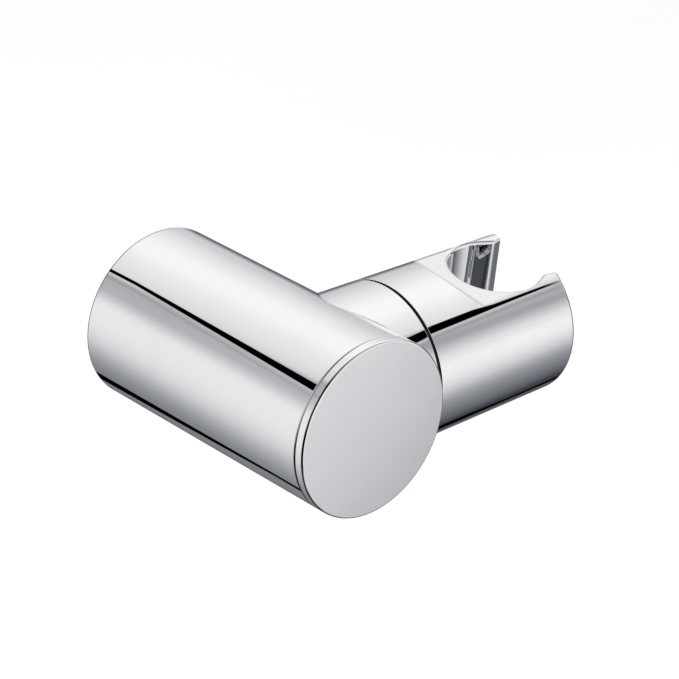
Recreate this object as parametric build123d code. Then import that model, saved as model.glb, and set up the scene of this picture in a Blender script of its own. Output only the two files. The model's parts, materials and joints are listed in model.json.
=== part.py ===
from build123d import *
from math import cos, pi, radians, sin, tan
import os

os.makedirs("parts", exist_ok=True)

# Frame: wall face at y = 0 with the wall on +Y, front on -Y, arm along +X, Z up. Millimetres and degrees.

# Drum on the wall
body_diameter = 40.0
body_depth = 71.2
body_wall = 2.5
floor_thickness = 4.0
body_edge_chamfer = 0.3
wall_hole_diameter = 4.8
wall_hole_spacing = 22.0

# Front cap and its snap skirt
cap_rim = 2.1
cap_gap = 0.3
cap_gap_depth = 0.8
cap_edge_round = 0.5
skirt_length = 6.0
skirt_wall = 1.4
skirt_clearance = 0.15
skirt_fingers = 6
skirt_slot_width = 3.0
snap_rib_height = 0.5
snap_rib_setback = 1.5
snap_clearance = 0.1

# Side arm: the stub on the drum and the head that turns on it
arm_diameter = 37.6
arm_draft = 0.8
arm_front_margin = 2.9
arm_reach = 64.0
stub_length = 1.75
seam_width = 0.65
seam_edge_round = 0.2
head_swivel = 7.3

# Centring spigot of the head in the socket of the stub
socket_depth = 2.75
socket_wall = 2.8
spigot_length = 2.4
spigot_clearance = 0.3
ring_recess = 0.3
ring_clearance = 0.3

# Flat cut on top of the head, with the ramp that it runs out in
cut_depth = 3.8
ramp_angle = 41.0
ramp_foot_round = 3.5
cut_land = 2.1

# Open slot for the tapered nut of the hand shower
slot_diameter = 20.8
slot_setback = 10.2
slot_taper = 2.2
throat_width = 15.8
throat_lead = 25.0
throat_round = 1.5
mouth_flare = 11.5
rim_round = 1.0
head_end_round = 1.0

# Hollow of the head, with its hub and ribs
head_hollow_wall = 2.2
bulkhead_thickness = 4.0
hub_wall = 3.0
hub_setback = 2.0
rib_count = 4
rib_thickness = 2.0

# Pivot in the boss of the drum
boss_diameter = 22.0
boss_thickness = 5.0
pivot_diameter = 6.0
pivot_clearance = 0.05
bush_wall = 1.5
bush_fit = 0.02
bush_flange_diameter = 13.0
bush_flange_thickness = 1.2

# Screw, washers, disc springs and nut
screw_head_diameter = 10.0
screw_head_height = 4.0
screw_head_sink = 1.5
screw_head_chamfer = 0.5
screw_head_clearance = 0.4
screw_hole_clearance = 0.2
thread_core_diameter = 5.0
screw_end_length = 1.5
screw_end_chamfer = 0.6
hex_socket_width = 4.0
hex_socket_depth = 2.2
washer_diameter = 12.0
washer_thickness = 1.0
washer_clearance = 0.2
spring_count = 4
spring_diameter = 12.0
spring_thickness = 0.7
spring_dish = 0.25
nut_width = 10.0
nut_height = 4.6
nut_collar_diameter = 8.6
nut_collar_height = 1.4
nut_collar_wall = 0.9
nut_fit = 0.02
insert_fit = 0.02
nut_chamfer = 0.5

# Room by which cutting shapes stand past the face that they cut
overcut = 2.0

# Places worked out from the sizes above
body_radius = body_diameter / 2
bore_radius = body_radius - body_wall
cap_seat = body_depth - cap_rim - cap_gap
snap_depth = cap_seat - skirt_length + snap_rib_setback
skirt_radius = bore_radius - skirt_clearance
arm_radius = arm_diameter / 2
arm_offset = body_depth - arm_front_margin - arm_radius
cut_height = arm_radius - cut_depth
arm_slope = tan(radians(arm_draft))
seam_distance = body_radius + stub_length
head_face = seam_distance + seam_width
socket_floor = seam_distance - socket_depth
socket_radius = arm_radius - socket_wall
spigot_radius = socket_radius - spigot_clearance
spigot_end = head_face - spigot_length - seam_width
boss_face = socket_floor - boss_thickness
slot_radius = slot_diameter / 2
slot_centre = arm_reach - slot_setback
ramp_end = slot_centre - slot_radius - rim_round - cut_land
ramp_foot = ramp_end - ramp_foot_round * tan(radians(ramp_angle / 2))
slot_wall_on_axis = slot_centre - slot_radius + cut_height * tan(radians(slot_taper))
screw_seat = slot_wall_on_axis - screw_head_sink - screw_head_height
hollow_end = screw_seat - bulkhead_thickness
hollow_radius = spigot_radius - head_hollow_wall
pivot_radius = pivot_diameter / 2
bush_bore_radius = pivot_radius + pivot_clearance
bush_radius = bush_bore_radius + bush_wall
thrust_washer_end = boss_face - bush_flange_thickness
spring_end = thrust_washer_end - washer_thickness
spring_height = spring_thickness + spring_dish
nut_washer_end = spring_end - spring_count * spring_height
nut_end = nut_washer_end - washer_thickness
nut_start = nut_end - nut_height
collar_end = nut_start - nut_collar_height
collar_radius = nut_collar_diameter / 2
collar_bore = collar_radius - nut_collar_wall
core_radius = thread_core_diameter / 2
thread_bore = core_radius + nut_fit
screw_end = collar_end - screw_end_length
arm_axis = Axis((0, -arm_offset, 0), (1, 0, 0))
on_base = (Align.CENTER, Align.CENTER, Align.MIN)
from_axis = (Align.MIN, Align.CENTER, Align.MIN)


def depth_plane(depth):
    # Plane across the drum at a depth from the wall: its x is X, its y is Z, and it faces the front.
    return Plane(origin=(0, -depth, 0), x_dir=(1, 0, 0), z_dir=(0, -1, 0))


def arm_plane(distance):
    # Plane across the arm at a distance from the drum's axis: its x is Y, its y is Z, and it faces +X.
    return Plane(origin=(distance, -arm_offset, 0), x_dir=(0, 1, 0), z_dir=(1, 0, 0))


def drum(radius, start, end):
    # Round bar along the drum's axis between two depths from the wall.
    return extrude(depth_plane(start) * Circle(radius), end - start)


def rod(radius, start, end):
    # Round bar along the arm's axis between two distances from the drum's axis.
    return extrude(arm_plane(start) * Circle(radius), end - start)


def arm_bar(start, end):
    # Piece of the arm's outside, which tapers by its draft and has the arm's diameter at the seam.
    base = arm_radius + (seam_distance - start) * arm_slope
    length = end - start
    return arm_plane(start) * Cone(base, base - length * arm_slope, length, align=on_base)


def tube(radius, bore, start, end):
    # Ring along the arm's axis.
    return rod(radius, start, end) - rod(bore, start - overcut, end + overcut)


def snap_ring(height):
    # Ridge round the skirt of the cap, or the groove for it in the bore.
    root = skirt_radius - skirt_wall / 2
    back = -snap_depth + height
    front = -snap_depth - height
    section = Polyline(
        (root, back), (skirt_radius, back), (skirt_radius + height, -snap_depth),
        (skirt_radius, front), (root, front), close=True,
    )
    return revolve(make_face(section), Axis.Y)


def wall_body():
    # Hollow drum with its floor on the wall, the stub of the arm, and the boss of the pivot inside.
    shell = drum(body_radius, 0, cap_seat)
    shell = chamfer(shell.edges().filter_by(GeomType.CIRCLE), body_edge_chamfer)
    stub = arm_bar(0, seam_distance)
    stub = fillet(stub.edges().sort_by(Axis.X)[-1], seam_edge_round)
    boss = rod(boss_diameter / 2, boss_face, socket_floor)
    cavity = drum(bore_radius, floor_thickness, cap_seat + overcut) - boss
    solid = shell + stub - cavity
    solid -= rod(socket_radius, socket_floor, seam_distance + overcut)
    solid -= rod(bush_radius + bush_fit, boss_face - overcut, socket_floor + overcut)
    solid -= snap_ring(snap_rib_height + snap_clearance)
    for side in (-1, 1):
        hole = depth_plane(-overcut) * Pos(0, side * wall_hole_spacing / 2) * Circle(wall_hole_diameter / 2)
        solid -= extrude(hole, floor_thickness + 2 * overcut)
    return solid


def front_cap():
    # Flat disc with a relieved rim, on a slit skirt whose bead snaps into the bore.
    plate = drum(body_radius, cap_seat, body_depth)
    plate = fillet(plate.edges().sort_by(Axis.Y)[0], cap_edge_round)
    relief = drum(body_radius + overcut, cap_seat, cap_seat + cap_gap)
    plate -= relief - drum(body_radius - cap_gap_depth, cap_seat, cap_seat + cap_gap)
    skirt_end = cap_seat - skirt_length
    inside = drum(skirt_radius - skirt_wall, skirt_end - overcut, cap_seat)
    skirt = drum(skirt_radius, skirt_end, cap_seat) + snap_ring(snap_rib_height) - inside
    slit = depth_plane(skirt_end - overcut) * Box(
        2 * body_radius, skirt_slot_width, skirt_length + overcut, align=from_axis
    )
    for finger in range(skirt_fingers):
        skirt -= slit.rotate(Axis.Y, finger * 360 / skirt_fingers)
    return plate + skirt


def friction_ring():
    # Thin washer in the seam, a little below the chrome.
    return tube(arm_radius - ring_recess, spigot_radius + ring_clearance, seam_distance, head_face)


def pivot_bush():
    # Flanged sleeve in the boss of the drum.
    sleeve = rod(bush_radius, boss_face, socket_floor)
    flange = rod(bush_flange_diameter / 2, thrust_washer_end, boss_face)
    return sleeve + flange - rod(bush_bore_radius, thrust_washer_end - overcut, socket_floor + overcut)


def seat_cutter():
    # Everything that is taken from the top and end of the head: flat, ramp, tapered slot and mouth.
    top = arm_radius + overcut
    end = arm_reach + 2 * overcut
    ramp_top = ramp_foot - (top - cut_height) / tan(radians(ramp_angle))
    side = Polygon((ramp_foot, cut_height), (end, cut_height), (end, top), (ramp_top, top), align=None)
    side = fillet(side.vertices().group_by(Axis.Y)[0].sort_by(Axis.X)[0], ramp_foot_round)
    flat = extrude(depth_plane(arm_offset) * side, top, both=True)
    throat = throat_width / 2
    lead_x = slot_radius * sin(radians(throat_lead))
    lead_y = slot_radius * cos(radians(throat_lead))
    throat_x = lead_x + (lead_y - throat) / tan(radians(throat_lead))
    lip = end - slot_centre
    flare = throat + (lip - throat_x) * tan(radians(mouth_flare))
    seat = ThreePointArc((lead_x, lead_y), (-slot_radius, 0), (lead_x, -lead_y))
    mouth = Polyline(
        (lead_x, -lead_y), (throat_x, -throat), (lip, -flare),
        (lip, flare), (throat_x, throat), (lead_x, lead_y),
    )
    plan = make_face(seat.edges() + mouth.edges())
    plan = fillet(plan.vertices().group_by(Axis.X)[1], throat_round)
    slot_plane = Plane(origin=(slot_centre, -arm_offset, cut_height), x_dir=(1, 0, 0), z_dir=(0, 0, -1))
    cutter = flat + extrude(slot_plane * plan, cut_height + top, taper=slot_taper)
    rim = cutter.faces().filter_by(Axis.Z).sort_by(Axis.Z)[-2].edges().filter_by(Axis.Y, reverse=True)
    rim = rim.filter_by_position(Axis.Y, -arm_offset - arm_radius, -arm_offset + arm_radius)
    return fillet(rim, rim_round)


def swivel_head():
    # Round head with the seat cut into it, hollow towards the stub, and turned on the arm's axis.
    solid = arm_bar(head_face, arm_reach)
    ends = solid.edges().filter_by(GeomType.CIRCLE).sort_by(Axis.X)
    solid = fillet(ends[-1], head_end_round)
    ends = solid.edges().filter_by(GeomType.CIRCLE).sort_by(Axis.X)
    solid = fillet(ends[0], seam_edge_round)
    solid += rod(spigot_radius, spigot_end, head_face)
    solid -= seat_cutter()
    hub = rod(pivot_radius + screw_hole_clearance + hub_wall, spigot_end + hub_setback, hollow_end)
    for rib in range(rib_count):
        web = arm_plane(spigot_end + hub_setback) * Box(
            hollow_radius + overcut, rib_thickness, hollow_end - spigot_end - hub_setback, align=from_axis
        )
        hub += web.rotate(arm_axis, rib * 360 / rib_count)
    solid -= rod(hollow_radius, spigot_end - overcut, hollow_end) - hub
    solid -= rod(pivot_radius + screw_hole_clearance, spigot_end - overcut, screw_seat + overcut)
    solid -= rod(screw_head_diameter / 2 + screw_head_clearance, screw_seat, slot_centre)
    return solid.rotate(arm_axis, head_swivel)


def pivot_screw():
    # Screw with a round head and a hexagon socket, driven through the mouth of the slot.
    # Its thread runs through the nut and the nut's washer, and is left at its core diameter.
    thread = rod(core_radius, screw_end, nut_washer_end)
    thread = chamfer(thread.edges().sort_by(Axis.X)[0], screw_end_chamfer)
    shank = rod(pivot_radius, nut_washer_end, screw_seat)
    top = screw_seat + screw_head_height
    head = rod(screw_head_diameter / 2, screw_seat, top)
    head = chamfer(head.edges().sort_by(Axis.X)[-1], screw_head_chamfer)
    socket = arm_plane(top - hex_socket_depth) * RegularPolygon(hex_socket_width / 2, 6, major_radius=False)
    return thread + shank + head - extrude(socket, hex_socket_depth + overcut)


def washer(start):
    # Flat steel washer on the screw.
    return tube(washer_diameter / 2, pivot_radius + washer_clearance, start, start + washer_thickness)


def disc_spring(place):
    # Dished washer, turned about on every second place of the stack.
    bore = pivot_radius + washer_clearance
    rim = spring_diameter / 2
    bore_lift, rim_lift = (0, spring_dish) if place % 2 else (spring_dish, 0)
    start = spring_end - (place + 1) * spring_height
    section = Polyline(
        (start + bore_lift, bore), (start + bore_lift + spring_thickness, bore),
        (start + rim_lift + spring_thickness, rim), (start + rim_lift, rim), close=True,
    )
    return revolve(depth_plane(arm_offset) * make_face(section), arm_axis)


def lock_nut():
    # Hexagon nut with the round collar that holds its locking insert.
    flats = arm_plane(nut_start) * RegularPolygon(nut_width / 2, 6, major_radius=False)
    hexagon = extrude(flats, nut_height)
    corner = nut_width / 2 / cos(pi / 6)
    blank = chamfer(rod(corner, nut_start, nut_end).edges().filter_by(GeomType.CIRCLE), nut_chamfer)
    collar = rod(collar_radius, collar_end, nut_start) - rod(collar_bore, collar_end, nut_start)
    return (hexagon & blank) + collar - rod(thread_bore, nut_start - overcut, nut_end + overcut)


def nut_insert():
    # Nylon ring in the collar of the nut, which grips the thread.
    return tube(collar_bore - insert_fit, thread_bore, collar_end, nut_start)


nodes = {
    "wall_body": wall_body(),
    "front_cap": front_cap(),
    "friction_ring": friction_ring(),
    "pivot_bush": pivot_bush(),
    "swivel_head": swivel_head(),
    "pivot_screw": pivot_screw(),
    "thrust_washer": washer(spring_end),
    "nut_washer": washer(nut_end),
    "lock_nut": lock_nut(),
    "nut_insert": nut_insert(),
}
for place in range(spring_count):
    nodes[f"disc_spring_{place + 1}"] = disc_spring(place)

for name, solid in nodes.items():
    solid.label = name
    export_step(solid, f"parts/{name}.step")
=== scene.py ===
"""Studio picture of a chrome hand shower holder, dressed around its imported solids.

The frame brings every solid at its real size and place. This script shows the three chrome mouldings by
polished copies with exact normals, gives each piece its finish, and winds the fine thread that the pivot
screw's solid leaves at core size. It then sets the white studio, the surroundings that the chrome mirrors,
the lamp and the camera. Lengths are in metres and angles in degrees, unless a line says otherwise.
"""
import json
import logging
import math
from abc import ABC, abstractmethod
from dataclasses import dataclass, field
from enum import Enum
from typing import Any, Mapping, Sequence

import bpy
import numpy as np
from mathutils import Matrix, Vector


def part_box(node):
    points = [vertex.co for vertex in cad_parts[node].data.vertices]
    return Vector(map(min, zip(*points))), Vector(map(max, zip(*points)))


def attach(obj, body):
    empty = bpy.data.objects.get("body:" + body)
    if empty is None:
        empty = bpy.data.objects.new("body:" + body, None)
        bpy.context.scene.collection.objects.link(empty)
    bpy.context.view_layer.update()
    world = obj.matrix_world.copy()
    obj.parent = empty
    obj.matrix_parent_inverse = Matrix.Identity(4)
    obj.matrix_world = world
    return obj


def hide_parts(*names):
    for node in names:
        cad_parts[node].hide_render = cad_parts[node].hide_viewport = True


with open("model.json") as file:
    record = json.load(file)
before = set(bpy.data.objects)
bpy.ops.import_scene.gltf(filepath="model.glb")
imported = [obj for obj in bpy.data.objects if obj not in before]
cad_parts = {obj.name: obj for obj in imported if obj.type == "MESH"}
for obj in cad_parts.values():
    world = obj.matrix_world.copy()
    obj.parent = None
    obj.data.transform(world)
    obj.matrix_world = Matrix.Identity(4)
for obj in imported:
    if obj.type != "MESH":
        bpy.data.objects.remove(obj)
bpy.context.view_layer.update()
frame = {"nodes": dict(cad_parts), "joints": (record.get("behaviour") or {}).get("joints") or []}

LOG = logging.getLogger("hand_shower_holder")
PHOTO_PIXELS = 679
SENSOR_MM = 36.0
QUARTER_TURN = 90.0
FULL_TURN = 360.0
TINY = 1e-9
AXIS_X = Vector((1.0, 0.0, 0.0))
AXIS_Y = Vector((0.0, 1.0, 0.0))
AXIS_Z = Vector((0.0, 0.0, 1.0))
ARM_AXIS = Vector(frame["joints"][0]["pos_m"])
HEAD_TURN = 7.3
FLAT_HEIGHT = 0.015
FIRM_CLAIM = 1.01

Triple = tuple[float, float, float]
Colour = Triple
Stop = tuple[float, float]
BLACK: Colour = (0.0, 0.0, 0.0)


class Body(Enum):
    """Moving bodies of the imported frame."""

    HOLDER = "holder"
    HEAD = "head"


class Slot(Enum):
    """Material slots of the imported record."""

    CHROME = "chrome"
    STEEL = "steel"
    BLACK_RING = "black_ring"
    NATURAL_PLASTIC = "bush_plastic"


class Ray(Enum):
    """Kinds of light ray that the studio answers in its own way."""

    CAMERA = "Is Camera Ray"
    GLOSSY = "Is Glossy Ray"
    TRANSMISSION = "Is Transmission Ray"


class Wire:
    """Output socket of a node, usable in Python arithmetic."""

    def __init__(self, sheet: "NodeSheet", socket: bpy.types.NodeSocket) -> None:
        """Holds the socket and the sheet that its node lies on."""
        self.sheet = sheet
        self.socket = socket

    def _math(self, operation: str, first: "Term", second: "Term" = 0.0) -> "Wire":
        """Adds one Math node.

        Args:
            operation: Blender's name of the sum.
            first: Left-hand side.
            second: Right-hand side.

        Returns:
            The node's result.
        """
        return self.sheet.node("ShaderNodeMath", {"operation": operation}, {0: first, 1: second})

    def __add__(self, other: "Term") -> "Wire":
        """Adds."""
        return self._math("ADD", self, other)

    __radd__ = __add__

    def __sub__(self, other: "Term") -> "Wire":
        """Subtracts."""
        return self._math("SUBTRACT", self, other)

    def __rsub__(self, other: "Term") -> "Wire":
        """Subtracts from a plain number."""
        return self._math("SUBTRACT", other, self)

    def __mul__(self, other: "Term") -> "Wire":
        """Multiplies."""
        return self._math("MULTIPLY", self, other)

    __rmul__ = __mul__

    def angle_to(self, other: "Term") -> "Wire":
        """Gives the angle, in radians, whose tangent is this value over another."""
        return self._math("ARCTAN2", self, other)

    def over(self, low: float, high: float) -> "Wire":
        """Rises smoothly from 0 to 1 between two values.

        Args:
            low: Value at which the rise starts.
            high: Value at which it ends.

        Returns:
            The share of the rise.
        """
        settings = {"interpolation_type": "SMOOTHSTEP"}
        return self.sheet.node("ShaderNodeMapRange", settings, {0: self, 1: low, 2: high, 3: 0.0, 4: 1.0})

    def near(self, place: float, half: float, soft: float) -> "Wire":
        """Marks a band round a value.

        Args:
            place: Middle of the band.
            half: Half of its width.
            soft: Width of its soft edge.

        Returns:
            1 inside the band and 0 outside it.
        """
        return 1.0 - self._math("ABSOLUTE", self - place).over(half, half + soft)


Term = Wire | float


class NodeSheet:
    """Node tree of a material or of the world, filled through one method."""

    def __init__(self, tree: bpy.types.NodeTree) -> None:
        """Empties the tree and keeps it."""
        tree.nodes.clear()
        self.tree = tree

    def node(
        self,
        kind: str,
        settings: Mapping[str, Any] | None = None,
        sockets: Mapping[int | str, Any] | None = None,
        output: int | str = 0,
    ) -> Wire:
        """Adds a node, sets it up and feeds its sockets.

        Args:
            kind: Blender's type name of the node.
            settings: Properties, set first. "stops" holds a ramp's places and grey levels or colours.
            sockets: Values or wires by input name or number.
            output: Name or number of the output that is wanted.

        Returns:
            The chosen output, or the first input of a node that has no output.
        """
        made = self.tree.nodes.new(kind)
        for name, value in (settings or {}).items():
            if name == "stops":
                self._set_stops(made.color_ramp, value)
            else:
                setattr(made, name, value)
        for name, value in (sockets or {}).items():
            if isinstance(value, Wire):
                self.tree.links.new(value.socket, made.inputs[name])
            else:
                made.inputs[name].default_value = value
        return Wire(self, made.outputs[output]) if made.outputs else Wire(self, made.inputs[0])

    @staticmethod
    def _set_stops(ramp: bpy.types.ColorRamp, stops: Sequence[tuple[float, Colour]]) -> None:
        """Writes the stops of a colour ramp.

        Args:
            ramp: Ramp of a node.
            stops: Places and colours, in rising order.
        """
        while len(ramp.elements) > 1:
            ramp.elements.remove(ramp.elements[-1])
        for index, (place, colour) in enumerate(stops):
            element = ramp.elements[0] if index == 0 else ramp.elements.new(place)
            element.position = place
            element.color = (*colour, 1.0)

    def mix(self, share: Term, first: Any, second: Any) -> Wire:
        """Blends two colours.

        Args:
            share: Part of the second colour, from 0 to 1.
            first: Colour at 0.
            second: Colour at 1.

        Returns:
            The blended colour.
        """
        return self.node("ShaderNodeMix", {"data_type": "RGBA"}, {0: share, 6: first, 7: second}, output=2)

    def along(self, vector: Wire, direction: Sequence[float]) -> Wire:
        """Gives a vector's length along a fixed direction."""
        sockets = {0: vector, 1: direction}
        return self.node("ShaderNodeVectorMath", {"operation": "DOT_PRODUCT"}, sockets, "Value")

    def spoke(self, place: Wire, centre: Sequence[float], across: Sequence[float]) -> Wire:
        """Measures how far a place lies from a line.

        Args:
            place: Where the distance is read.
            centre: A point of the line.
            across: 1 for each axis that lies across the line, and 0 for the one along it.

        Returns:
            The distance.
        """
        arm = self.node("ShaderNodeVectorMath", {"operation": "SUBTRACT"}, {0: place, 1: centre})
        flat = self.node("ShaderNodeVectorMath", {"operation": "MULTIPLY"}, {0: arm, 1: across})
        return self.node("ShaderNodeVectorMath", {"operation": "LENGTH"}, {0: flat}, "Value")

    def cloud(self, place: Wire, scale: float, detail: float = 2.0, roughness: float = 0.5) -> Wire:
        """Adds soft noise.

        Args:
            place: Where the noise is read.
            scale: Patches in a metre.
            detail: Finer layers on top.
            roughness: Weight of the finer layers.

        Returns:
            Noise around 0.5.
        """
        sockets = {"Vector": place, "Scale": scale, "Detail": detail, "Roughness": roughness}
        return self.node("ShaderNodeTexNoise", None, sockets)

    def bump(self, height: Term, strength: float, distance: float) -> Wire:
        """Turns a height into a normal."""
        sockets = {"Strength": strength, "Distance": distance, "Height": height}
        return self.node("ShaderNodeBump", None, sockets)


def rgba(colour: Colour) -> tuple[float, float, float, float]:
    """Adds full cover to a colour."""
    return (*colour, 1.0)


class Finish(ABC):
    """Surface finish that makes its own node material."""

    name: str

    @abstractmethod
    def shade(self, sheet: NodeSheet, place: Wire) -> Wire:
        """Adds the finish's nodes.

        Args:
            sheet: Node sheet of the material.
            place: Object coordinates, in metres.

        Returns:
            The surface shader.
        """

    def material(self) -> bpy.types.Material:
        """Makes the material.

        Returns:
            The new material.
        """
        made = bpy.data.materials.new(self.name)
        made.use_nodes = True
        sheet = NodeSheet(made.node_tree)
        place = sheet.node("ShaderNodeTexCoord", output="Object")
        surface = self.shade(sheet, place)
        sheet.node("ShaderNodeOutputMaterial", None, {"Surface": surface})
        return made


@dataclass(frozen=True)
class Spot:
    """Shaded point of the chrome, with its distances from the drum's axis and from the arm's axis."""

    sheet: NodeSheet
    place: Wire
    from_drum: Wire
    from_arm: Wire

    def along(self, direction: Sequence[float]) -> Wire:
        """Gives the point's place along a fixed direction."""
        return self.sheet.along(self.place, direction)


@dataclass(frozen=True)
class PaintedSeamShade:
    """Painted shade on the chrome: fine dark lines in its gaps, seams and edges. This colour stands in for
    the shade and the dark reflections of places too narrow to mirror the studio's light.

    A line is a pair, its place and half its width. A fade is the height over which a line's painted shade
    fades upwards, so that it is lighter on top.
    """

    soft: float = 0.00005
    drum_radius: float = 0.02
    # The cap's gap is a real gap in the solids, painted with shade that lifts near its mouth and towards the
    # top. The line on the cap's rim is a painted dark reflection on its rounding, colour alone.
    cap_gap: Stop = (-0.0688, 0.0003)
    gap_depth: float = 0.0196
    gap_shade_fade: Stop = (-0.002, 0.014)
    cap_rim: Stop = (-0.07093, 0.00015)
    rim_shade_fade: Stop = (0.0145, 0.0205)
    # Band of painted shade over the swivel's seam and its rounded edges; the seam itself is a real gap in
    # the solids.
    swivel_seam: Stop = (0.022075, 0.0004)
    # Painted shade along the crease where the stub meets the drum and, fainter, over the drum beside it;
    # colour alone.
    stub_radius: float = 0.01882
    crease_half: float = 0.00006
    crease_soft: float = 0.00012
    nook_reach: Stop = (0.0196, 0.0225)
    nook_shade: float = 0.17
    # Painted dark reflections along the edges of both ends, colour alone.
    wall_end: Stop = (-0.0002, 0.0003)
    head_end: Stop = (0.0636, 0.0003)
    head_end_skin: float = 0.0178
    end_soft: float = 0.00015
    end_shade: float = 0.75
    # Painted dark reflection on the far edge of the head's flat, colour alone.
    flat_half: float = 0.00006
    flat_skin: float = 0.00025
    flat_start: float = 0.0366
    flat_shade: float = 0.5

    def mark(self, sheet: NodeSheet, place: Wire) -> Wire:
        """Marks where the painted shade of all the lines falls.

        Args:
            sheet: Node sheet of the material.
            place: Object coordinates, in metres.

        Returns:
            1 in the gap and the seam, less on the edges and 0 elsewhere.
        """
        from_drum = sheet.spoke(place, Vector(), AXIS_X + AXIS_Z)
        from_arm = sheet.spoke(place, ARM_AXIS, AXIS_Y + AXIS_Z)
        spot = Spot(sheet, place, from_drum, from_arm)
        # Painted shade in the swivel's seam and on the rounds beside it.
        lines = spot.along(AXIS_X).near(*self.swivel_seam, self.soft)
        for line in (self._paint_cap_shade, self._paint_crease_shade, self._paint_end_edge_shade, self._paint_flat_edge_shade):
            lines = lines + line(spot)
        return sheet.node("ShaderNodeClamp", None, {"Value": lines})

    def _paint_cap_shade(self, spot: Spot) -> Wire:
        """Marks the painted shade in the gap behind the front cap, which is darker deeper in and lower down,
        and the painted dark reflection on the rounding of the cap's rim.

        Args:
            spot: Shaded point.

        Returns:
            1 in both lines, less towards their top and 0 elsewhere.
        """
        depth = spot.along(AXIS_Y)
        rise = spot.along(AXIS_Z)
        lit = spot.from_drum.over(self.gap_depth, self.drum_radius) * rise.over(*self.gap_shade_fade)
        gap = depth.near(*self.cap_gap, self.soft) * (1.0 - lit)
        return gap + depth.near(*self.cap_rim, self.soft) * (1.0 - rise.over(*self.rim_shade_fade))

    def _paint_crease_shade(self, spot: Spot) -> Wire:
        """Marks the painted shade of the crease where the stub meets the drum, and the fainter painted shade
        of the nook beside it.

        Args:
            spot: Shaded point.

        Returns:
            1 in the crease, less in the nook and 0 elsewhere.
        """
        nook = self.nook_shade * (1.0 - spot.from_arm.over(*self.nook_reach))
        crease = nook + spot.from_arm.near(self.stub_radius, self.crease_half, self.crease_soft)
        crease = crease * spot.from_drum.near(self.drum_radius, self.crease_half, self.crease_soft)
        return crease * spot.along(AXIS_X).over(0.0, self.drum_radius / 2.0)

    def _paint_end_edge_shade(self, spot: Spot) -> Wire:
        """Marks the painted dark reflections on the edge of the drum at the wall and on the edge of the
        head's end.

        Args:
            spot: Shaded point.

        Returns:
            The shade on both edges, and 0 elsewhere.
        """
        skin = self.drum_radius - self.end_soft
        wall = spot.along(AXIS_Y).near(*self.wall_end, self.end_soft)
        wall = wall * spot.from_drum.over(skin - self.end_soft, skin)
        head = spot.along(AXIS_X).near(*self.head_end, self.end_soft)
        head = head * spot.from_arm.over(self.head_end_skin, self.head_end_skin + self.end_soft)
        return self.end_shade * (wall + head)

    def _paint_flat_edge_shade(self, spot: Spot) -> Wire:
        """Marks the painted dark reflection on the fine edge between the head's flat and its round, on the
        side of the wall only.

        Args:
            spot: Shaded point.

        Returns:
            The shade on the edge, and 0 elsewhere.
        """
        arm = ArmTaper()
        turn = Matrix.Rotation(math.radians(HEAD_TURN), 3, "X")
        up = turn @ AXIS_Z
        back = turn @ AXIS_Y
        middle = ARM_AXIS.dot(back)
        distance = spot.along(AXIS_X)
        under_skin = arm.radius_at(0.0) - spot.from_arm - arm.slope() * distance
        edge = spot.along(up).near(FLAT_HEIGHT + ARM_AXIS.dot(up), self.flat_half, self.soft)
        edge = edge * under_skin.near(0.0, self.flat_skin, self.soft)
        edge = edge * distance.over(self.flat_start, self.flat_start + self.flat_skin)
        return self.flat_shade * edge * spot.along(back).over(middle, middle + self.flat_skin)


@dataclass(frozen=True)
class ChromePlating(Finish):
    """Mirror-bright chrome on moulded plastic, with a breath of handling on its gloss and painted shade
    along its fine seams and edges.
    """

    name: str = "chrome_plating"
    bright: Colour = (0.942, 0.945, 0.953)
    veiled: Colour = (0.907, 0.91, 0.922)
    # Colour of the painted shade and painted dark reflections along the seam lines.
    shadow: Colour = (0.03, 0.03, 0.033)
    polish: float = 0.008
    veil_haze: float = 0.012
    veil_scale: float = 38.0
    veil_detail: float = 4.0
    veil_roughness: float = 0.6
    veil_span: Stop = (0.42, 0.72)
    ripple_scale: float = 120.0
    ripple_detail: float = 1.0
    ripple_strength: float = 0.02
    ripple_height: float = 0.00002
    lines: PaintedSeamShade = PaintedSeamShade()

    def shade(self, sheet: NodeSheet, place: Wire) -> Wire:
        """Adds the plating's nodes; see Finish.shade."""
        haze = sheet.cloud(place, self.veil_scale, self.veil_detail, self.veil_roughness)
        veil = haze.over(*self.veil_span)
        ripple = sheet.cloud(place, self.ripple_scale, self.ripple_detail)
        plating = sheet.mix(veil, rgba(self.bright), rgba(self.veiled))
        # The plating's colour goes to the shadow colour wherever the seam lines paint shade.
        return sheet.node("ShaderNodeBsdfPrincipled", None, {
            "Base Color": sheet.mix(self.lines.mark(sheet, place), plating, rgba(self.shadow)),
            "Metallic": 1.0,
            "Roughness": self.polish + self.veil_haze * veil,
            "Normal": sheet.bump(ripple, self.ripple_strength, self.ripple_height),
        })


@dataclass(frozen=True)
class GrainedFinish(Finish):
    """Finish in two tones, set by its grain. The gloss follows its blotches, or the grain if it has none."""

    name: str
    dark: Colour
    light: Colour
    gloss: float
    gloss_spread: float
    grain_scale: float
    grain_strength: float
    grain_height: float = 0.00004
    grain_detail: float = 2.0
    grain_stretch: Triple = (1.0, 1.0, 1.0)
    blotch_scale: float | None = None
    metallic: float = 0.0
    specular: float = 0.5

    def shade(self, sheet: NodeSheet, place: Wire) -> Wire:
        """Adds the finish's nodes; see Finish.shade."""
        stretched = sheet.node("ShaderNodeMapping", None, {"Vector": place, "Scale": self.grain_stretch})
        grain = sheet.cloud(stretched, self.grain_scale, self.grain_detail)
        blotch = sheet.cloud(place, self.blotch_scale) if self.blotch_scale else grain
        return sheet.node("ShaderNodeBsdfPrincipled", None, {
            "Base Color": sheet.mix(grain, rgba(self.dark), rgba(self.light)),
            "Metallic": self.metallic,
            "Roughness": self.gloss + self.gloss_spread * blotch,
            "Specular IOR Level": self.specular,
            "Normal": sheet.bump(grain, self.grain_strength, self.grain_height),
        })


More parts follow.
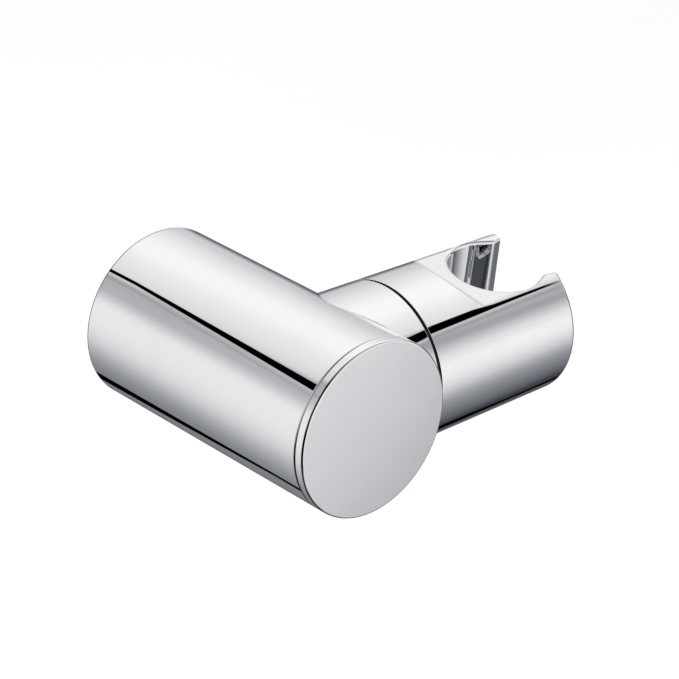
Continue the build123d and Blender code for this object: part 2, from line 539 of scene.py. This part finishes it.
# Bare steel, with fine rings left by the lathe round the arm's axis.
TURNED_STEEL = GrainedFinish(
    "turned_steel", dark=(0.48, 0.48, 0.475), light=(0.66, 0.66, 0.65), metallic=1.0,
    gloss=0.24, gloss_spread=0.12, blotch_scale=225.0, grain_scale=900.0, grain_detail=3.0,
    grain_stretch=(1.0, 0.04, 0.04), grain_strength=0.3, grain_height=0.00005,
)
# Matt black rubber with a fine grain.
BLACK_RUBBER = GrainedFinish(
    "black_rubber", dark=(0.006, 0.006, 0.007), light=(0.016, 0.016, 0.018), specular=0.2,
    gloss=0.6, gloss_spread=0.25, grain_scale=2600.0, grain_strength=0.25,
)
# Unpainted moulded plastic, milky and slightly waxy.
NATURAL_PLASTIC = GrainedFinish(
    "natural_plastic", dark=(0.72, 0.70, 0.65), light=(0.80, 0.79, 0.75),
    gloss=0.38, gloss_spread=0.16, grain_scale=350.0, grain_detail=3.0, grain_strength=0.2,
)


@dataclass(frozen=True)
class WhiteFloor(Finish):
    """Seamless white floor that keeps a soft shadow and stays white to the camera."""

    name: str = "white_floor"
    white: Colour = (0.93, 0.93, 0.93)
    shade_tone: Colour = (0.90, 0.90, 0.905)
    paper_scale: float = 3.0
    lift: float = 0.2

    def shade(self, sheet: NodeSheet, place: Wire) -> Wire:
        """Adds the floor's nodes; see Finish.shade."""
        paper = sheet.cloud(place, self.paper_scale)
        board = sheet.node("ShaderNodeBsdfDiffuse", None, {
            "Color": sheet.mix(paper, rgba(self.shade_tone), rgba(self.white)),
        })
        glow = sheet.node("ShaderNodeEmission", None, {"Color": rgba(self.white), "Strength": self.lift})
        lifted = sheet.node("ShaderNodeAddShader", None, {0: board, 1: glow})
        seen = sheet.node("ShaderNodeLightPath", output=Ray.CAMERA.value)
        return sheet.node("ShaderNodeMixShader", None, {0: seen, 1: board, 2: lifted})


class Finishes:
    """One material for each slot of the record, made once and shared."""

    def __init__(self) -> None:
        """Makes the materials."""
        kinds: dict[Slot, Finish] = {
            Slot.CHROME: ChromePlating(),
            Slot.STEEL: TURNED_STEEL,
            Slot.BLACK_RING: BLACK_RUBBER,
            Slot.NATURAL_PLASTIC: NATURAL_PLASTIC,
        }
        self.materials = {slot: finish.material() for slot, finish in kinds.items()}

    def dress(self, piece: bpy.types.Object, slot: Slot) -> None:
        """Gives a piece the finish of a slot.

        Args:
            piece: Mesh object.
            slot: Material slot of the record.
        """
        piece.data.materials.clear()
        piece.data.materials.append(self.materials[slot])
        LOG.info("dressed %s in %s", piece.name, slot.value)


class SubAssembly(ABC):
    """Pieces that belong together, with the way to build and dress them."""

    @abstractmethod
    def build(self) -> None:
        """Models what the solids leave out."""

    @abstractmethod
    def dress(self, finishes: Finishes) -> None:
        """Gives every piece its finish.

        Args:
            finishes: Materials of the slots.
        """


def node_object(name: str) -> bpy.types.Object:
    """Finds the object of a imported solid."""
    return frame["nodes"][name]


class TrueFace(ABC):
    """Exact surface that the facets of a solid follow. Of two that touch, the higher claim wins."""

    claim: float = 1.0

    @abstractmethod
    def fit(self, points: np.ndarray) -> tuple[np.ndarray, np.ndarray]:
        """Compares points with the surface.

        Args:
            points: One point a row.

        Returns:
            Each point's height over the surface, and the surface's outward normal beside it.
        """


@dataclass(frozen=True)
class FlatFace(TrueFace):
    """Plane through a point. A crown lets its normals lean outwards, by radians in a metre."""

    point: Vector
    facing: Vector
    crown: float = 0.0
    claim: float = FIRM_CLAIM

    def fit(self, points: np.ndarray) -> tuple[np.ndarray, np.ndarray]:
        """Compares points with the plane; see TrueFace.fit."""
        facing = np.array(self.facing)
        arms = points - np.array(self.point)
        height = arms @ facing
        leaning = facing + self.crown * (arms - np.outer(height, facing))
        return height, leaning / np.linalg.norm(leaning, axis=1, keepdims=True)


@dataclass(frozen=True)
class RoundFace(TrueFace):
    """Cylinder, or cone that widens along its axis by a slope. A hollow one faces its axis.

    A lean tilts the normals alone, against the axis.
    """

    base: Vector
    axis: Vector
    radius: float
    slope: float = 0.0
    hollow: bool = False
    lean: float = 0.0
    claim: float = 1.0

    def fit(self, points: np.ndarray) -> tuple[np.ndarray, np.ndarray]:
        """Compares points with the round; see TrueFace.fit."""
        axis = np.array(self.axis)
        height = (points - np.array(self.base)) @ axis
        spoke = points - np.array(self.base) - np.outer(height, axis)
        reach = np.linalg.norm(spoke, axis=1).clip(TINY)
        tilt = self.slope + self.lean
        facing = (spoke / reach[:, None] - tilt * axis) / math.hypot(1.0, tilt)
        over = (reach - self.radius - self.slope * height) / math.hypot(1.0, self.slope)
        return (-over, -facing) if self.hollow else (over, facing)


@dataclass(frozen=True)
class RoundEdge(TrueFace):
    """Rounding of a circular edge: a small circle swept round an axis."""

    centre: Vector
    axis: Vector
    ring: float
    rounding: float

    def fit(self, points: np.ndarray) -> tuple[np.ndarray, np.ndarray]:
        """Compares points with the rounding; see TrueFace.fit."""
        axis = np.array(self.axis)
        arms = points - np.array(self.centre)
        spoke = arms - np.outer(arms @ axis, axis)
        reach = np.linalg.norm(spoke, axis=1, keepdims=True).clip(TINY)
        facing = arms - spoke / reach * self.ring
        length = np.linalg.norm(facing, axis=1).clip(TINY)
        return length - self.rounding, facing / length[:, None]


@dataclass(frozen=True)
class ChromeShell:
    """Copy of a moulded solid whose corners carry the exact normals of its surfaces.

    Facets alone bend the lines that a mirror finish shows, so the copy stands for the solid.
    """

    node: str
    body: Body
    faces: tuple[TrueFace, ...]
    fine: tuple[TrueFace, ...] = ()
    fine_cuts: int = 3
    sag: float = 0.0001
    merge: float = 1e-6
    tolerance: float = 3e-6
    crease: float = 25.0
    widest_match: float = 60.0

    def build(self) -> bpy.types.Object:
        """Makes the copy and puts it on its body.

        Returns:
            The new piece.
        """
        piece = bpy.data.objects.new(f"{self.node}_shell", node_object(self.node).data.copy())
        bpy.context.scene.collection.objects.link(piece)
        bpy.ops.object.select_all(action="DESELECT")
        piece.select_set(True)
        bpy.context.view_layer.objects.active = piece
        bpy.ops.mesh.customdata_custom_splitnormals_clear()
        bpy.ops.object.mode_set(mode="EDIT")
        bpy.ops.mesh.select_all(action="SELECT")
        bpy.ops.mesh.remove_doubles(threshold=self.merge)
        bpy.ops.object.mode_set(mode="OBJECT")
        for face in self.fine:
            self._cut_finer(piece.data, face)
        bpy.ops.object.shade_smooth_by_angle(angle=math.radians(self.crease))
        self._set_normals(piece.data)
        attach(piece, self.body.value)
        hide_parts(self.node)
        LOG.info("built %s", piece.name)
        return piece

    def _cut_finer(self, mesh: bpy.types.Mesh, face: TrueFace) -> None:
        """Cuts the facets of one surface of the active piece finer and lays the new corners on the surface.

        Args:
            mesh: Mesh of the active piece.
            face: Surface that mirrors itself, so that coarse facets would show.
        """
        bpy.ops.object.mode_set(mode="EDIT")
        bpy.ops.mesh.select_mode(type="FACE")
        bpy.ops.mesh.select_all(action="DESELECT")
        bpy.ops.object.mode_set(mode="OBJECT")
        for facet in mesh.polygons:
            over, normal = face.fit(np.array([mesh.vertices[corner].co for corner in facet.vertices]))
            lies = np.abs(over).max() < self.tolerance
            facet.select = bool(lies and normal.mean(0) @ np.array(facet.normal) > self._match_limit())
        bpy.ops.object.mode_set(mode="EDIT")
        bpy.ops.mesh.subdivide(number_cuts=self.fine_cuts)
        bpy.ops.object.mode_set(mode="OBJECT")
        moved = [vertex for vertex in mesh.vertices if vertex.select]
        points = np.array([vertex.co for vertex in moved])
        over, normal = face.fit(points)
        for vertex, point, height in zip(moved, points - over[:, None] * normal, over):
            if abs(height) < self.sag:
                vertex.co = point

    def _match_limit(self) -> float:
        """Gives the cosine beyond which a facet doesn't follow a surface."""
        return math.cos(math.radians(self.widest_match))

    def _set_normals(self, mesh: bpy.types.Mesh) -> None:
        """Gives each corner the normal of the exact surface that it lies on and faces along.

        A corner that lies on none gets a zero normal, which leaves it as it is.

        Args:
            mesh: Mesh of the copy.
        """
        corners = [vertex for facet in mesh.polygons for vertex in facet.vertices]
        points = np.array([vertex.co for vertex in mesh.vertices])[corners]
        counts = [facet.loop_total for facet in mesh.polygons]
        facing = np.repeat([facet.normal for facet in mesh.polygons], counts, 0)
        best = np.full(len(points), self._match_limit())
        chosen = np.zeros_like(points)
        for face in self.faces:
            over, normal = face.fit(points)
            match = np.where(np.abs(over) < self.tolerance, face.claim * (normal * facing).sum(1), -1.0)
            better = match > best
            best[better] = match[better]
            chosen[better] = normal[better]
        mesh.normals_split_custom_set([tuple(normal) for normal in chosen])


@dataclass(frozen=True)
class ArmTaper:
    """Outside of the arm, which narrows by its draft from the seam to its end."""

    seam: float = 0.02175
    radius: float = 0.0188
    draft: float = 0.8

    def slope(self) -> float:
        """Gives how much the arm's radius shrinks in a metre."""
        return math.tan(math.radians(self.draft))

    def radius_at(self, place: float) -> float:
        """Gives the arm's radius at a distance from the drum's axis."""
        return self.radius + (self.seam - place) * self.slope()

    def outside(self) -> RoundFace:
        """Gives the arm's round."""
        return RoundFace(ARM_AXIS + AXIS_X * self.seam, AXIS_X, self.radius, -self.slope())

    def end_round(self, place: float, rounding: float) -> RoundEdge:
        """Gives the rounding of an end of the arm.

        Args:
            place: Distance of the rounding's centre from the drum's axis.
            rounding: Its radius.

        Returns:
            The rounded edge.
        """
        ring = self.radius_at(place) - rounding / math.cos(math.radians(self.draft))
        return RoundEdge(ARM_AXIS + AXIS_X * place, AXIS_X, ring, rounding)


@dataclass
class WallDrum(SubAssembly):
    """Drum on the wall with its front cap, the seam ring of the arm and the bush of the pivot."""

    body_node: str = "wall_body"
    cap_node: str = "front_cap"
    ring_node: str = "friction_ring"
    bush_node: str = "pivot_bush"
    arm: ArmTaper = field(default_factory=ArmTaper)
    seam_edge: float = 0.0002
    cap_edge: float = 0.0005
    cap_crown: float = 1.6
    cap_lean: float = 0.05
    shells: list[bpy.types.Object] = field(default_factory=list)

    def build(self) -> None:
        """Polishes the drum and its cap."""
        low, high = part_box(self.cap_node)
        radius = (high.x - low.x) / 2.0
        side = RoundFace(Vector(), AXIS_Y, radius)
        cap_side = RoundFace(Vector(), AXIS_Y, radius, lean=self.cap_lean, claim=FIRM_CLAIM)
        seam = FlatFace(AXIS_X * self.arm.seam, AXIS_X)
        seam_round = self.arm.end_round(self.arm.seam - self.seam_edge, self.seam_edge)
        front = FlatFace(AXIS_Y * low.y, -AXIS_Y, self.cap_crown)
        edge_centre = AXIS_Y * (low.y + self.cap_edge)
        front_round = RoundEdge(edge_centre, AXIS_Y, radius - self.cap_edge, self.cap_edge)
        self.shells = [
            ChromeShell(self.body_node, Body.HOLDER, (side, self.arm.outside(), seam, seam_round)).build(),
            ChromeShell(self.cap_node, Body.HOLDER, (cap_side, front, front_round)).build(),
        ]

    def dress(self, finishes: Finishes) -> None:
        """Dresses the drum's pieces; see SubAssembly.dress."""
        for shell in self.shells:
            finishes.dress(shell, Slot.CHROME)
        finishes.dress(node_object(self.ring_node), Slot.BLACK_RING)
        finishes.dress(node_object(self.bush_node), Slot.NATURAL_PLASTIC)


@dataclass
class SwivelHead(SubAssembly):
    """Head of the arm with the open seat of the hand shower, turned a little on the arm's axis."""

    node: str = "swivel_head"
    arm: ArmTaper = field(default_factory=ArmTaper)
    swivel: float = HEAD_TURN
    start: float = 0.0224
    seam_edge: float = 0.0002
    end_edge: float = 0.001
    flat: float = FLAT_HEIGHT
    ramp_end: float = 0.0403
    ramp_angle: float = 41.0
    ramp_round: float = 0.0035
    slot_centre: float = 0.0538
    slot_radius: float = 0.0104
    slot_taper: float = 2.2
    throat: float = 0.0079
    throat_lead: float = 25.0
    throat_round: float = 0.0015
    mouth_flare: float = 11.5
    rim_round: float = 0.001
    shells: list[bpy.types.Object] = field(default_factory=list)

    def _at(self, along: float, across: float, up: float) -> Vector:
        """Gives a point of the head by its own axes, from the arm's axis."""
        return ARM_AXIS + self._to(along, across, up)

    def _to(self, along: float, across: float, up: float) -> Vector:
        """Gives a direction by the head's own axes."""
        return Matrix.Rotation(math.radians(self.swivel), 3, "X") @ Vector((along, across, up))

    def _cut_faces(self) -> list[TrueFace]:
        """Lays out the cut of the head.

        Returns:
            The flat, the ramp and the round between them.
        """
        tilt = math.radians(self.ramp_angle)
        foot = self.ramp_end - self.ramp_round * math.tan(tilt / 2.0)
        return [
            FlatFace(self._at(0.0, 0.0, self.flat), self._to(0.0, 0.0, 1.0)),
            FlatFace(self._at(foot, 0.0, self.flat), self._to(math.sin(tilt), 0.0, math.cos(tilt))),
            RoundFace(
                self._at(self.ramp_end, 0.0, self.flat + self.ramp_round), self._to(0.0, 1.0, 0.0),
                self.ramp_round, hollow=True,
            ),
        ]

    def _slot_faces(self) -> list[TrueFace]:
        """Lays out the open slot.

        Returns:
            Its tapered wall first, then its leads and mouth, with the roundings of the throat and the rim.
        """
        up = self._to(0.0, 0.0, 1.0)
        lean = math.radians(self.slot_taper)
        slope = math.tan(lean)
        inset = self.rim_round / math.cos(lean)
        fall = slope * self.rim_round
        centre = self._at(self.slot_centre, 0.0, self.flat)
        low_centre = centre - up * self.rim_round
        faces: list[TrueFace] = [
            RoundFace(centre, up, self.slot_radius, slope, hollow=True),
            RoundEdge(low_centre, up, self.slot_radius - fall + inset, self.rim_round),
        ]
        lead = math.radians(self.throat_lead)
        flare = math.radians(self.mouth_flare)
        lead_in = Vector((math.sin(lead), math.cos(lead)))
        start = lead_in * self.slot_radius
        throat = Vector((start.x + (start.y - self.throat) / math.tan(lead), self.throat))
        mouth_in = Vector((-math.sin(flare), math.cos(flare)))
        nose = throat + (lead_in + mouth_in) * (self.throat_round / (1.0 + lead_in.dot(mouth_in)))
        for side in (-1.0, 1.0):
            nose_up = self._at(self.slot_centre + nose.x, side * nose.y, self.flat)
            corner = self._at(self.slot_centre + throat.x, side * throat.y, self.flat)
            for inside in (lead_in, mouth_in):
                inward = self._to(inside.x, side * inside.y, 0.0)
                run = self._to(inside.y, -side * inside.x, 0.0)
                faces += [
                    FlatFace(corner, up * math.sin(lean) - inward * math.cos(lean)),
                    RoundFace(corner - up * self.rim_round + inward * (inset - fall), run, self.rim_round),
                ]
            faces += [
                RoundFace(nose_up, up, self.throat_round, -slope),
                RoundEdge(
                    nose_up - up * self.rim_round, up, self.throat_round + fall - inset, self.rim_round,
                ),
            ]
        return faces

    def build(self) -> None:
        """Polishes the head."""
        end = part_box(self.node)[1].x
        slot = self._slot_faces()
        faces = (
            self.arm.outside(), FlatFace(AXIS_X * self.start, -AXIS_X), FlatFace(AXIS_X * end, AXIS_X),
            self.arm.end_round(self.start + self.seam_edge, self.seam_edge),
            self.arm.end_round(end - self.end_edge, self.end_edge),
            *self._cut_faces(), *slot,
        )
        self.shells = [ChromeShell(self.node, Body.HEAD, faces, fine=(slot[0],)).build()]

    def dress(self, finishes: Finishes) -> None:
        """Dresses the head; see SubAssembly.dress."""
        for shell in self.shells:
            finishes.dress(shell, Slot.CHROME)


@dataclass
class PivotStack(SubAssembly):
    """Screw, washers, disc springs and lock nut that hold the head to the drum."""

    steel_nodes: tuple[str, ...] = ("pivot_screw", "thrust_washer", "nut_washer", "lock_nut")
    spring_count: int = 4
    insert_node: str = "nut_insert"
    thread_start: float = 0.0003
    thread_turns: int = 7
    pitch: float = 0.001
    crest: float = 0.003
    ridge_side: float = 0.0009
    crest_cut: float = 0.00006
    facets_per_turn: int = 40
    crease: float = 35.0
    threads: list[bpy.types.Object] = field(default_factory=list)

    def _ridge(self) -> bpy.types.Object:
        """Draws the section of the thread: a triangle, blunted at its crest.

        Returns:
            The outline, beside the arm's axis as if that lay at the origin.
        """
        spread = self.ridge_side / math.sqrt(3.0)
        middle = (self.thread_start, 0.0, self.crest + self.crest_cut - spread)
        bpy.ops.object.select_all(action="DESELECT")
        bpy.ops.mesh.primitive_circle_add(
            vertices=3, radius=spread, fill_type="NOTHING",
            location=middle, rotation=(math.radians(QUARTER_TURN), 0.0, 0.0),
        )
        ridge = bpy.context.object
        bpy.ops.object.transform_apply(location=True, rotation=True, scale=True)
        for vertex in ridge.data.vertices:
            vertex.select = vertex.co.z > self.crest
        bpy.ops.object.mode_set(mode="EDIT")
        bpy.ops.mesh.select_mode(type="VERT")
        bpy.ops.mesh.bevel(offset=self.crest_cut * 2.0, affect="VERTICES")
        bpy.ops.object.mode_set(mode="OBJECT")
        return ridge

    def build(self) -> None:
        """Winds the screw's thread along the arm's axis."""
        thread = self._ridge()
        thread.name = "pivot_thread"
        winding = thread.modifiers.new("winding", "SCREW")
        winding.axis = "X"
        winding.screw_offset = self.pitch
        winding.iterations = self.thread_turns
        winding.steps = winding.render_steps = self.facets_per_turn
        bpy.ops.object.modifier_apply(modifier=winding.name)
        bpy.ops.object.mode_set(mode="EDIT")
        bpy.ops.mesh.select_all(action="SELECT")
        bpy.ops.mesh.fill_holes(sides=0)
        bpy.ops.mesh.normals_make_consistent(inside=False)
        bpy.ops.object.mode_set(mode="OBJECT")
        bpy.ops.transform.translate(value=ARM_AXIS)
        bpy.ops.object.transform_apply(location=True, rotation=True, scale=True)
        bpy.ops.object.shade_smooth_by_angle(angle=math.radians(self.crease))
        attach(thread, Body.HEAD.value)
        LOG.info("built %s", thread.name)
        self.threads = [thread]

    def dress(self, finishes: Finishes) -> None:
        """Dresses the stack; see SubAssembly.dress."""
        springs = [f"disc_spring_{place + 1}" for place in range(self.spring_count)]
        for piece in (*map(node_object, (*self.steel_nodes, *springs)), *self.threads):
            finishes.dress(piece, Slot.STEEL)
        finishes.dress(node_object(self.insert_node), Slot.NATURAL_PLASTIC)


@dataclass(frozen=True)
class Slit:
    """Dark gap in a wall of light, as the chrome mirrors it.

    Each edge is a line of places along the wall and rolling angles. The gap closes at its tip and stays shut
    over its pause, a middle and half a length. Behind it come a lit lip and, further on, a faint echo.
    """

    start: tuple[Stop, ...]
    end: tuple[Stop, ...]
    softness: float = 0.3
    tip: Stop = (1.5, 2.0)
    pause: Stop | None = None
    pause_soft: float = 0.15
    lip: float = 0.0
    lip_width: float = 5.0
    lip_level: float = 0.62
    echo: float = 0.0
    echo_gap: float = 5.7
    echo_half: float = 0.6
    echo_soft: float = 2.4

    @staticmethod
    def _edge(sheet: NodeSheet, reach: Wire, line: Sequence[Stop]) -> Wire:
        """Draws an edge.

        Args:
            sheet: Node sheet of the world.
            reach: Place along the wall.
            line: Corners of the edge.

        Returns:
            The edge's rolling angle at that place.
        """
        low = min(angle for _, angle in line)
        span = max(angle for _, angle in line) - low
        stops = [(place, ((angle - low) / span,) * 3) for place, angle in line]
        return low + span * sheet.node("ShaderNodeValToRGB", {"stops": stops}, {"Fac": reach})

    def cut(self, sheet: NodeSheet, light: Wire, angle: Wire, reach: Wire) -> Wire:
        """Cuts the gap into a wall's light.

        Args:
            sheet: Node sheet of the world.
            light: Colour of the wall without the gap.
            angle: Rolling angle in degrees.
            reach: Place along the wall, from 0 at its near end to 1 at its far end.

        Returns:
            The colour with the gap, the lit lip behind it and a faint echo beyond.
        """
        behind = angle - self._edge(sheet, reach, self.end)
        opened = (angle - self._edge(sheet, reach, self.start)).over(-self.softness, self.softness)
        closed = behind.over(-self.softness, self.softness)
        left = 1.0 - reach.over(*self.tip)
        if self.pause:
            left = left * (1.0 - reach.near(*self.pause, self.pause_soft))
        if self.lip:
            lit = self.lip * closed * (1.0 - behind.over(0.0, self.lip_width)) * left
            light = sheet.mix(lit, light, rgba((self.lip_level,) * 3))
        if self.echo:
            faint = self.echo * behind.near(self.echo_gap, self.echo_half, self.echo_soft)
            light = sheet.mix(faint, light, rgba(BLACK))
        return sheet.mix((opened - closed) * left, light, rgba(BLACK))


# Light levels round the far side, which both walls share.
FAR_SIDE: tuple[Stop, ...] = (
    (-20, 0.17), (-11, 0.32), (-4, 0.525), (4, 0.62), (24, 0.675), (60, 0.90),
)
# Stretch of the drum's wall that only the leaning rim of the front cap mirrors.
CAP_RIM: Stop = (-0.95, 0.6)


@dataclass(frozen=True)
class LightWall:
    """One side of the surroundings: light levels along the rolling angle, with the slits in them."""

    stops: tuple[Stop, ...]
    slits: tuple[Slit, ...]
    axis: Triple
    near: float
    span: float
    tint: Triple = (1.03, 1.0, 0.945)

    def colour(self, sheet: NodeSheet, sky: Wire, angle: Wire) -> Wire:
        """Adds the wall's light.

        Args:
            sheet: Node sheet of the world.
            sky: Direction that is looked in.
            angle: Rolling angle in degrees.

        Returns:
            The light's colour, cooler where it is darker.
        """
        stops = [
            (0.5 + place / FULL_TURN, tuple(level**power for power in self.tint))
            for place, level in sorted((*self.stops, *FAR_SIDE))
        ]
        light = sheet.node("ShaderNodeValToRGB", {"stops": stops}, {"Fac": 0.5 + angle * (1.0 / FULL_TURN)})
        reach = (sheet.along(sky, self.axis) - self.near) * (1.0 / self.span)
        for slit in self.slits:
            light = slit.cut(sheet, light, angle, reach)
        return light


DRUM_SIDE = LightWall(
    stops=(
        (-180, 0.85), (-162, 0.831), (-146, 0.782), (-135, 0.70), (-126, 0.606), (-118, 0.483),
        (-106, 0.338), (-98, 0.265), (-88, 0.222), (-78, 0.222), (-60, 0.18), (-34, 0.14),
        (66, 0.957), (78, 0.977), (84, 0.96), (92, 0.885), (108, 0.78), (116, 0.68),
        (119, 0.42), (138, 0.475), (144, 0.555), (152, 0.70), (158, 0.79), (165, 0.842), (180, 0.85),
    ),
    slits=(
        Slit(
            start=((0.0, 119.9), (1.0, 112.1)), end=((0.0, 128.0), (1.0, 115.6)),
            pause=CAP_RIM, lip=0.35, echo=0.12,
        ),
        Slit(start=((0.0, -91.6), (1.0, -86.6)), end=((0.0, -87.6), (1.0, -74.6)), pause=CAP_RIM),
    ),
    axis=(0.0, 1.0, 0.0), near=0.65, span=0.055,
)
ARM_SIDE = LightWall(
    stops=(
        (-180, 0.94), (-168, 0.935), (-154, 0.835), (-146, 0.735), (-138, 0.615), (-130, 0.448),
        (-122, 0.324), (-110, 0.218), (-98, 0.132), (-89, 0.055), (-80, 0.045), (-72, 0.10), (-60, 0.12),
        (-34, 0.12), (74, 1.0), (90, 1.0), (102, 0.89), (117, 0.78),
        (122, 0.44), (134, 0.44), (139, 0.382), (143, 0.40), (158, 0.692), (164, 0.80), (180, 0.94),
    ),
    slits=(
        Slit(
            start=(
                (0.18, 121.4), (0.275, 119.9), (0.305, 118.2), (0.58, 117.2), (0.70, 119.2), (0.98, 118.9),
            ),
            end=(
                (0.20, 131.4), (0.275, 129.9), (0.305, 127.2), (0.58, 125.1), (0.80, 123.1), (1.0, 121.9),
            ),
            tip=(1.0, 1.14), lip=0.8, echo=0.15,
        ),
        Slit(start=((0.0, -86.5), (0.3, -83.0)), end=((0.0, -77.6), (0.3, -77.0)), softness=1.2),
    ),
    axis=(1.0, 0.0, 0.0), near=0.645, span=0.045,
)


@dataclass(frozen=True)
class DarkPlace:
    """Dark part of the surroundings, by its limits to the right, ahead and in height."""

    right: Stop
    ahead: Stop
    height: Stop
    soft: float = 0.08
    strength: float = 1.0

    def cover(self, right: Wire, ahead: Wire, height: Wire) -> Wire:
        """Marks the place.

        Args:
            right: Part of the direction to the right.
            ahead: Part of it straight ahead.
            height: Part of it upwards.

        Returns:
            The share of light that the place takes.
        """
        shares = [
            way.over(low - self.soft, low + self.soft) - way.over(high - self.soft, high + self.soft)
            for way, (low, high) in ((right, self.right), (ahead, self.ahead), (height, self.height))
        ]
        return self.strength * shares[0] * shares[1] * shares[2]


# More than any part of a direction, for a place with no limit on that side.
ENDLESS = 2.0
ROOM = DarkPlace(right=(-0.62, 0.5), ahead=(-ENDLESS, -0.1), height=(-0.65, -0.05))
DOORWAY = DarkPlace(
    right=(0.42, 0.95), ahead=(0.5, ENDLESS), height=(-0.40, 0.25), soft=0.06, strength=0.35,
)


@dataclass(frozen=True)
class Surroundings:
    """What the chrome mirrors: a wall of soft light on each side, a dark room behind and a dim doorway.

    The rolling angle turns about a level line across the view. Straight up is 90 degrees, the far side is
    near 0, and the camera's side is near 180.
    """

    drum_side: LightWall = DRUM_SIDE
    arm_side: LightWall = ARM_SIDE
    dark_places: tuple[DarkPlace, ...] = (ROOM, DOORWAY)
    heading: float = 46.7
    lean: float = 0.5
    side_blend: float = 0.3

    def mirrored(self, sheet: NodeSheet) -> Wire:
        """Adds what glossy rays see.

        Args:
            sheet: Node sheet of the world.

        Returns:
            The light's colour.
        """
        along = math.radians(self.heading)
        sky = sheet.node("ShaderNodeTexCoord", output="Generated")
        ahead = sheet.along(sky, (math.cos(along), math.sin(along), 0.0))
        right = sheet.along(sky, (math.sin(along), -math.cos(along), 0.0))
        height = sheet.along(sky, AXIS_Z)
        angle = height.angle_to(ahead - self.lean) * (FULL_TURN / math.tau)
        sides = (wall.colour(sheet, sky, angle) for wall in (self.drum_side, self.arm_side))
        light = sheet.mix(right.over(-self.side_blend, self.side_blend), *sides)
        for dark in self.dark_places:
            light = sheet.mix(dark.cover(right, ahead, height), light, rgba(BLACK))
        return light


@dataclass
class Studio:
    """White floor, surroundings, lamp and camera."""

    surroundings: Surroundings = field(default_factory=Surroundings)
    floor_drop: float = 0.30
    floor_size: float = 6.0
    white: Colour = (1.0, 1.0, 1.0)
    fill_level: float = 0.8
    lamp_place: Vector = field(default_factory=lambda: Vector((-0.5, -0.4, 1.2)))
    lamp_size: float = 0.9
    lamp_watts: float = 6.0
    eye: Vector = field(default_factory=lambda: Vector((-0.36575, -0.44823, 0.28125)))
    view_heading: float = 46.74
    view_drop: float = 26.39
    view_roll: float = 2.26
    focal_pixels: float = 2875.0
    clip: Stop = (0.01, 50.0)

    def set_world(self) -> None:
        """Sets the light that each kind of ray meets."""
        world = bpy.data.worlds.new("white_studio")
        world.use_nodes = True
        bpy.context.scene.world = world
        sheet = NodeSheet(world.node_tree)
        mirrored = sheet.node("ShaderNodeBackground", None, {"Color": self.surroundings.mirrored(sheet)})
        plain = sheet.node("ShaderNodeBackground", None, {"Color": rgba(self.white)})
        fill = {"Color": rgba(self.white), "Strength": self.fill_level}
        seen = sheet.node("ShaderNodeBackground", None, fill)
        for ray, light in ((Ray.GLOSSY, mirrored), (Ray.TRANSMISSION, plain), (Ray.CAMERA, plain)):
            chosen = sheet.node("ShaderNodeLightPath", output=ray.value)
            seen = sheet.node("ShaderNodeMixShader", None, {0: chosen, 1: seen, 2: light})
        sheet.node("ShaderNodeOutputWorld", None, {"Surface": seen})
        LOG.info("set the studio's surroundings")

    def lay_floor(self) -> None:
        """Lays the floor far below the holder, which hangs on a wall that isn't shown."""
        bpy.ops.object.select_all(action="DESELECT")
        bpy.ops.mesh.primitive_plane_add(size=self.floor_size, location=(0.0, 0.0, -self.floor_drop))
        floor = bpy.context.object
        floor.name = "studio_floor"
        bpy.ops.object.transform_apply(location=True, rotation=True, scale=True)
        floor.data.materials.append(WhiteFloor().material())
        floor.visible_glossy = False
        LOG.info("laid the floor")

    def hang_lamp(self) -> None:
        """Hangs one soft lamp above, out of the chrome's sight."""
        bpy.ops.object.light_add(type="AREA", location=self.lamp_place)
        lamp = bpy.context.object
        lamp.name = "soft_lamp"
        lamp.data.size = self.lamp_size
        lamp.data.energy = self.lamp_watts
        lamp.rotation_euler = (-self.lamp_place).to_track_quat("-Z", "Y").to_euler()
        lamp.visible_glossy = False
        LOG.info("hung the lamp")

    def set_camera(self) -> None:
        """Sets the camera at the photograph's angle."""
        camera = bpy.data.cameras.new("camera")
        camera.sensor_width = SENSOR_MM
        camera.lens = SENSOR_MM * self.focal_pixels / PHOTO_PIXELS
        camera.clip_start, camera.clip_end = self.clip
        holder = bpy.data.objects.new("camera", camera)
        level = Matrix.Rotation(math.radians(QUARTER_TURN - self.view_drop), 4, "X")
        turn = Matrix.Rotation(math.radians(self.view_heading - QUARTER_TURN), 4, "Z")
        roll = Matrix.Rotation(math.radians(self.view_roll), 4, "Z")
        holder.matrix_world = Matrix.Translation(self.eye) @ turn @ level @ roll
        bpy.context.scene.collection.objects.link(holder)
        bpy.context.scene.camera = holder
        LOG.info("set the camera")

    def build(self) -> None:
        """Sets the whole studio."""
        bpy.context.scene.view_settings.view_transform = "Standard"
        self.set_world()
        self.lay_floor()
        self.hang_lamp()
        self.set_camera()


def main() -> None:
    """Builds and dresses the holder and sets the studio."""
    logging.basicConfig(level=logging.INFO, format="%(name)s: %(message)s")
    finishes = Finishes()
    for assembly in (WallDrum(), SwivelHead(), PivotStack()):
        assembly.build()
        assembly.dress(finishes)
    Studio().build()


if __name__ == "__main__":
    main()
